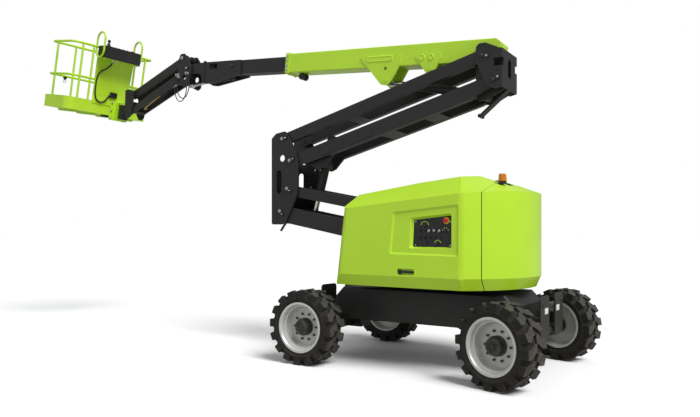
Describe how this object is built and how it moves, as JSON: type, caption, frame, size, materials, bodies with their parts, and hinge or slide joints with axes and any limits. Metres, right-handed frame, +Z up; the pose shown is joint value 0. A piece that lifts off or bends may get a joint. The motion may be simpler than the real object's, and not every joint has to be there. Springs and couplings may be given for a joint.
{
  "type": "articulating boom lift",
  "caption": "Self-propelled articulating boom lift with a slewing turntable, parallelogram riser, telescopic boom, jib and rotating work platform.",
  "frame": {"origin": "point on the ground under the slew axis, midway between the axles", "axes": "+X towards the counterweight and steered axle, +Z up, the platform end at -X and the ground control side at -Y"},
  "size_m": [8.3392, 2.5101, 4.6949],
  "materials": {
    "green_paint": "gloss",
    "black_steel": "satin",
    "rod_chrome": "polished",
    "tyre_rubber": "matte",
    "rim_silver": "satin",
    "panel_black": "matte",
    "beacon_amber": "gloss"
  },
  "bodies": {
    "chassis": {"chassis_frame": "black_steel", "slew_ring": "black_steel", "drive_axle": "black_steel", "steer_axle": "black_steel"},
    "wheel_drive_near": {"tyre_drive_near": "tyre_rubber", "rim_drive_near": "rim_silver"},
    "wheel_drive_far": {"tyre_drive_far": "tyre_rubber", "rim_drive_far": "rim_silver"},
    "knuckle_near": {"knuckle_near": "black_steel"},
    "knuckle_far": {"knuckle_far": "black_steel"},
    "tie_rod": {"tie_rod": "black_steel"},
    "wheel_steer_near": {"tyre_steer_near": "tyre_rubber", "rim_steer_near": "rim_silver"},
    "wheel_steer_far": {"tyre_steer_far": "tyre_rubber", "rim_steer_far": "rim_silver"},
    "turntable": {"turntable_frame": "black_steel", "counterweight": "green_paint", "engine_block": "black_steel", "ground_panel": "panel_black", "beacon": "beacon_amber"},
    "hood_near": {"hood_near": "green_paint"},
    "hood_far": {"hood_far": "green_paint"},
    "platform": {"platform_bracket": "green_paint", "platform_floor": "green_paint", "platform_rails": "green_paint", "back_panel": "green_paint", "control_box": "panel_black", "junction_box": "panel_black"},
    "lower_riser_lower": {"lower_riser_lower": "black_steel"},
    "lower_riser_upper": {"lower_riser_upper": "black_steel"},
    "mid_upright": {"mid_upright": "black_steel"},
    "upper_riser_lower": {"upper_riser_lower": "black_steel"},
    "upper_riser_upper": {"upper_riser_upper": "black_steel"},
    "riser_barrel": {"riser_barrel": "black_steel"},
    "riser_rod": {"riser_rod": "rod_chrome"},
    "upper_upright": {"upper_upright": "black_steel"},
    "lift_barrel": {"lift_barrel": "black_steel"},
    "lift_rod": {"lift_rod": "rod_chrome"},
    "main_boom": {"main_boom": "green_paint"},
    "fly_boom": {"fly_boom": "black_steel"},
    "level_barrel": {"level_barrel": "black_steel"},
    "level_rod": {"level_rod": "rod_chrome"},
    "jib_base": {"jib_base": "black_steel"},
    "jib_upper_beam": {"jib_upper_beam": "black_steel"},
    "jib_lower_beam": {"jib_lower_beam": "black_steel"},
    "jib_barrel": {"jib_barrel": "black_steel"},
    "jib_rod": {"jib_rod": "rod_chrome"},
    "outer_upright": {"outer_upright": "black_steel"}
  },
  "joints": [
    {"name": "wheel_drive_near", "type": "hinge", "parent": "chassis", "child": "wheel_drive_near", "pos_m": [-1.17, -1.005, 0.425], "axis": [0, 1, 0], "continuous": true},
    {"name": "wheel_drive_far", "type": "hinge", "parent": "chassis", "child": "wheel_drive_far", "pos_m": [-1.17, 1.005, 0.425], "axis": [0, 1, 0], "continuous": true},
    {"name": "steer", "type": "hinge", "parent": "chassis", "child": "knuckle_near", "pos_m": [1.17, -0.815, 0.425], "axis": [0, 0, 1], "range_deg": [-23, 53]},
    {"name": "steer_far", "type": "hinge", "parent": "chassis", "child": "knuckle_far", "pos_m": [1.17, 0.815, 0.425], "axis": [0, 0, 1], "range_deg": [-23.02, 53.02]},
    {"name": "tie_rod_turn", "type": "hinge", "parent": "knuckle_near", "child": "tie_rod", "pos_m": [1.02511, -0.77618, 0.375], "axis": [0, 0, 1], "range_deg": [-53.02, 23.02]},
    {"name": "wheel_steer_near", "type": "hinge", "parent": "knuckle_near", "child": "wheel_steer_near", "pos_m": [1.12082, -0.99853, 0.425], "axis": [0.2588, 0.9659, 0], "continuous": true},
    {"name": "wheel_steer_far", "type": "hinge", "parent": "knuckle_far", "child": "wheel_steer_far", "pos_m": [1.21918, 0.99853, 0.425], "axis": [0.2588, 0.9659, 0], "continuous": true},
    {"name": "slew", "type": "hinge", "parent": "chassis", "child": "turntable", "pos_m": [0, 0, 0.92], "axis": [0, 0, 1], "range_deg": [-177.5, 177.5]},
    {"name": "hood_near_open", "type": "hinge", "parent": "turntable", "child": "hood_near", "pos_m": [-0.56, -0.31, 1.94839], "axis": [-0.9895, 0, -0.1443], "range_deg": [0, 55]},
    {"name": "hood_far_open", "type": "hinge", "parent": "turntable", "child": "hood_far", "pos_m": [-0.56, 0.31, 1.94839], "axis": [0.9895, 0, 0.1443], "range_deg": [0, 55]},
    {"name": "riser_lift", "type": "hinge", "parent": "turntable", "child": "lower_riser_lower", "pos_m": [0.23081, 0, 1.30764], "axis": [0, 1, 0], "range_deg": [-15, 50]},
    {"name": "riser_lower_upper", "type": "hinge", "parent": "turntable", "child": "lower_riser_upper", "pos_m": [0.35781, 0, 1.61864], "axis": [0, 1, 0], "range_deg": [-15.02, 50.02]},
    {"name": "mid_upright_level", "type": "hinge", "parent": "lower_riser_lower", "child": "mid_upright", "pos_m": [-2.129, 0, 1.745], "axis": [0, 1, 0], "range_deg": [-50.02, 15.02]},
    {"name": "riser_upper_lower", "type": "hinge", "parent": "mid_upright", "child": "upper_riser_lower", "pos_m": [-1.96, 0, 2.475], "axis": [0, -1, 0], "range_deg": [-15.02, 50.02]},
    {"name": "riser_upper_upper", "type": "hinge", "parent": "mid_upright", "child": "upper_riser_upper", "pos_m": [-2.088, 0, 2.763], "axis": [0, -1, 0], "range_deg": [-15.02, 50.02]},
    {"name": "upper_upright_level", "type": "hinge", "parent": "upper_riser_lower", "child": "upper_upright", "pos_m": [0.7903, 0, 3.22224], "axis": [0, -1, 0], "range_deg": [-50.02, 15.02]},
    {"name": "riser_barrel_turn", "type": "hinge", "parent": "upper_riser_lower", "child": "riser_barrel", "pos_m": [-1.60443, 0, 2.39441], "axis": [0, 1, 0], "range_deg": [-14.15, 47.12]},
    {"name": "riser_rod_slide", "type": "slide", "parent": "riser_barrel", "child": "riser_rod", "axis": [-0.2601, 0, -0.9656], "range_m": [-0.16673, 0.5546]},
    {"name": "boom_lift", "type": "hinge", "parent": "upper_upright", "child": "main_boom", "pos_m": [0.6203, 0, 3.60024], "axis": [0, 1, 0], "range_deg": [-3, 70]},
    {"name": "lift_barrel_turn", "type": "hinge", "parent": "upper_upright", "child": "lift_barrel", "pos_m": [0.6203, 0, 3.09024], "axis": [0, 1, 0], "range_deg": [-2.39, 55.32]},
    {"name": "lift_rod_slide", "type": "slide", "parent": "lift_barrel", "child": "lift_rod", "axis": [-0.9713, 0, 0.238], "range_m": [-0.01946, 0.44284]},
    {"name": "fly_extend", "type": "slide", "parent": "main_boom", "child": "fly_boom", "axis": [-0.9972, 0, 0.075], "range_m": [-0.8, 0.9]},
    {"name": "jib_base_level", "type": "hinge", "parent": "fly_boom", "child": "jib_base", "pos_m": [-4.06689, 0, 3.97373], "axis": [0, 1, 0], "range_deg": [-70.02, 3.02]},
    {"name": "level_barrel_turn", "type": "hinge", "parent": "fly_boom", "child": "level_barrel", "pos_m": [-3.2781, 0, 3.76801], "axis": [0, 1, 0], "range_deg": [-0.49, 11.02]},
    {"name": "level_rod_slide", "type": "slide", "parent": "level_barrel", "child": "level_rod", "axis": [-0.9992, 0, -0.0402], "range_m": [-0.24405, 0.01094]},
    {"name": "jib_lift", "type": "hinge", "parent": "jib_base", "child": "jib_lower_beam", "pos_m": [-4.24289, 0, 3.86173], "axis": [0, 1, 0], "range_deg": [-30, 90]},
    {"name": "jib_upper_turn", "type": "hinge", "parent": "jib_base", "child": "jib_upper_beam", "pos_m": [-4.17689, 0, 4.14273], "axis": [0, 1, 0], "range_deg": [-30.02, 90.02]},
    {"name": "outer_upright_level", "type": "hinge", "parent": "jib_lower_beam", "child": "outer_upright", "pos_m": [-5.40131, 0, 3.41938], "axis": [0, 1, 0], "range_deg": [-90.02, 30.02]},
    {"name": "jib_barrel_turn", "type": "hinge", "parent": "jib_base", "child": "jib_barrel", "pos_m": [-4.19789, 0, 3.95173], "axis": [0, 1, 0], "range_deg": [-29.66, 88.95]},
    {"name": "jib_rod_slide", "type": "slide", "parent": "jib_barrel", "child": "jib_rod", "axis": [-0.9035, 0, -0.4287], "range_m": [-0.1416, 0.04753]},
    {"name": "platform_rotate", "type": "hinge", "parent": "outer_upright", "child": "platform", "pos_m": [-5.67, 0, 3.42], "axis": [0.165, 0, 0.9863], "range_deg": [-83, 97]}
  ],
  "couplings": [
    {"joint": "steer_far", "follows": "steer", "ratio": 1},
    {"joint": "tie_rod_turn", "follows": "steer", "ratio": -1},
    {"joint": "riser_lower_upper", "follows": "riser_lift", "ratio": 1},
    {"joint": "mid_upright_level", "follows": "riser_lift", "ratio": -1},
    {"joint": "riser_upper_lower", "follows": "riser_lift", "ratio": 1},
    {"joint": "riser_upper_upper", "follows": "riser_lift", "ratio": 1},
    {"joint": "upper_upright_level", "follows": "riser_lift", "ratio": -1},
    {"joint": "riser_barrel_turn", "follows": "riser_lift", "ratio": 0.94206},
    {"joint": "riser_rod_slide", "follows": "riser_lift", "m_per_rad": 0.63495},
    {"joint": "lift_barrel_turn", "follows": "boom_lift", "ratio": 0.79003},
    {"joint": "lift_rod_slide", "follows": "boom_lift", "m_per_rad": 0.36206},
    {"joint": "jib_base_level", "follows": "boom_lift", "ratio": -1},
    {"joint": "level_barrel_turn", "follows": "boom_lift", "ratio": 0.15714},
    {"joint": "level_rod_slide", "follows": "boom_lift", "m_per_rad": -0.19935},
    {"joint": "jib_upper_turn", "follows": "jib_lift", "ratio": 1},
    {"joint": "outer_upright_level", "follows": "jib_lift", "ratio": -1},
    {"joint": "jib_barrel_turn", "follows": "jib_lift", "ratio": 0.98811},
    {"joint": "jib_rod_slide", "follows": "jib_lift", "m_per_rad": -0.089825}
  ]
}
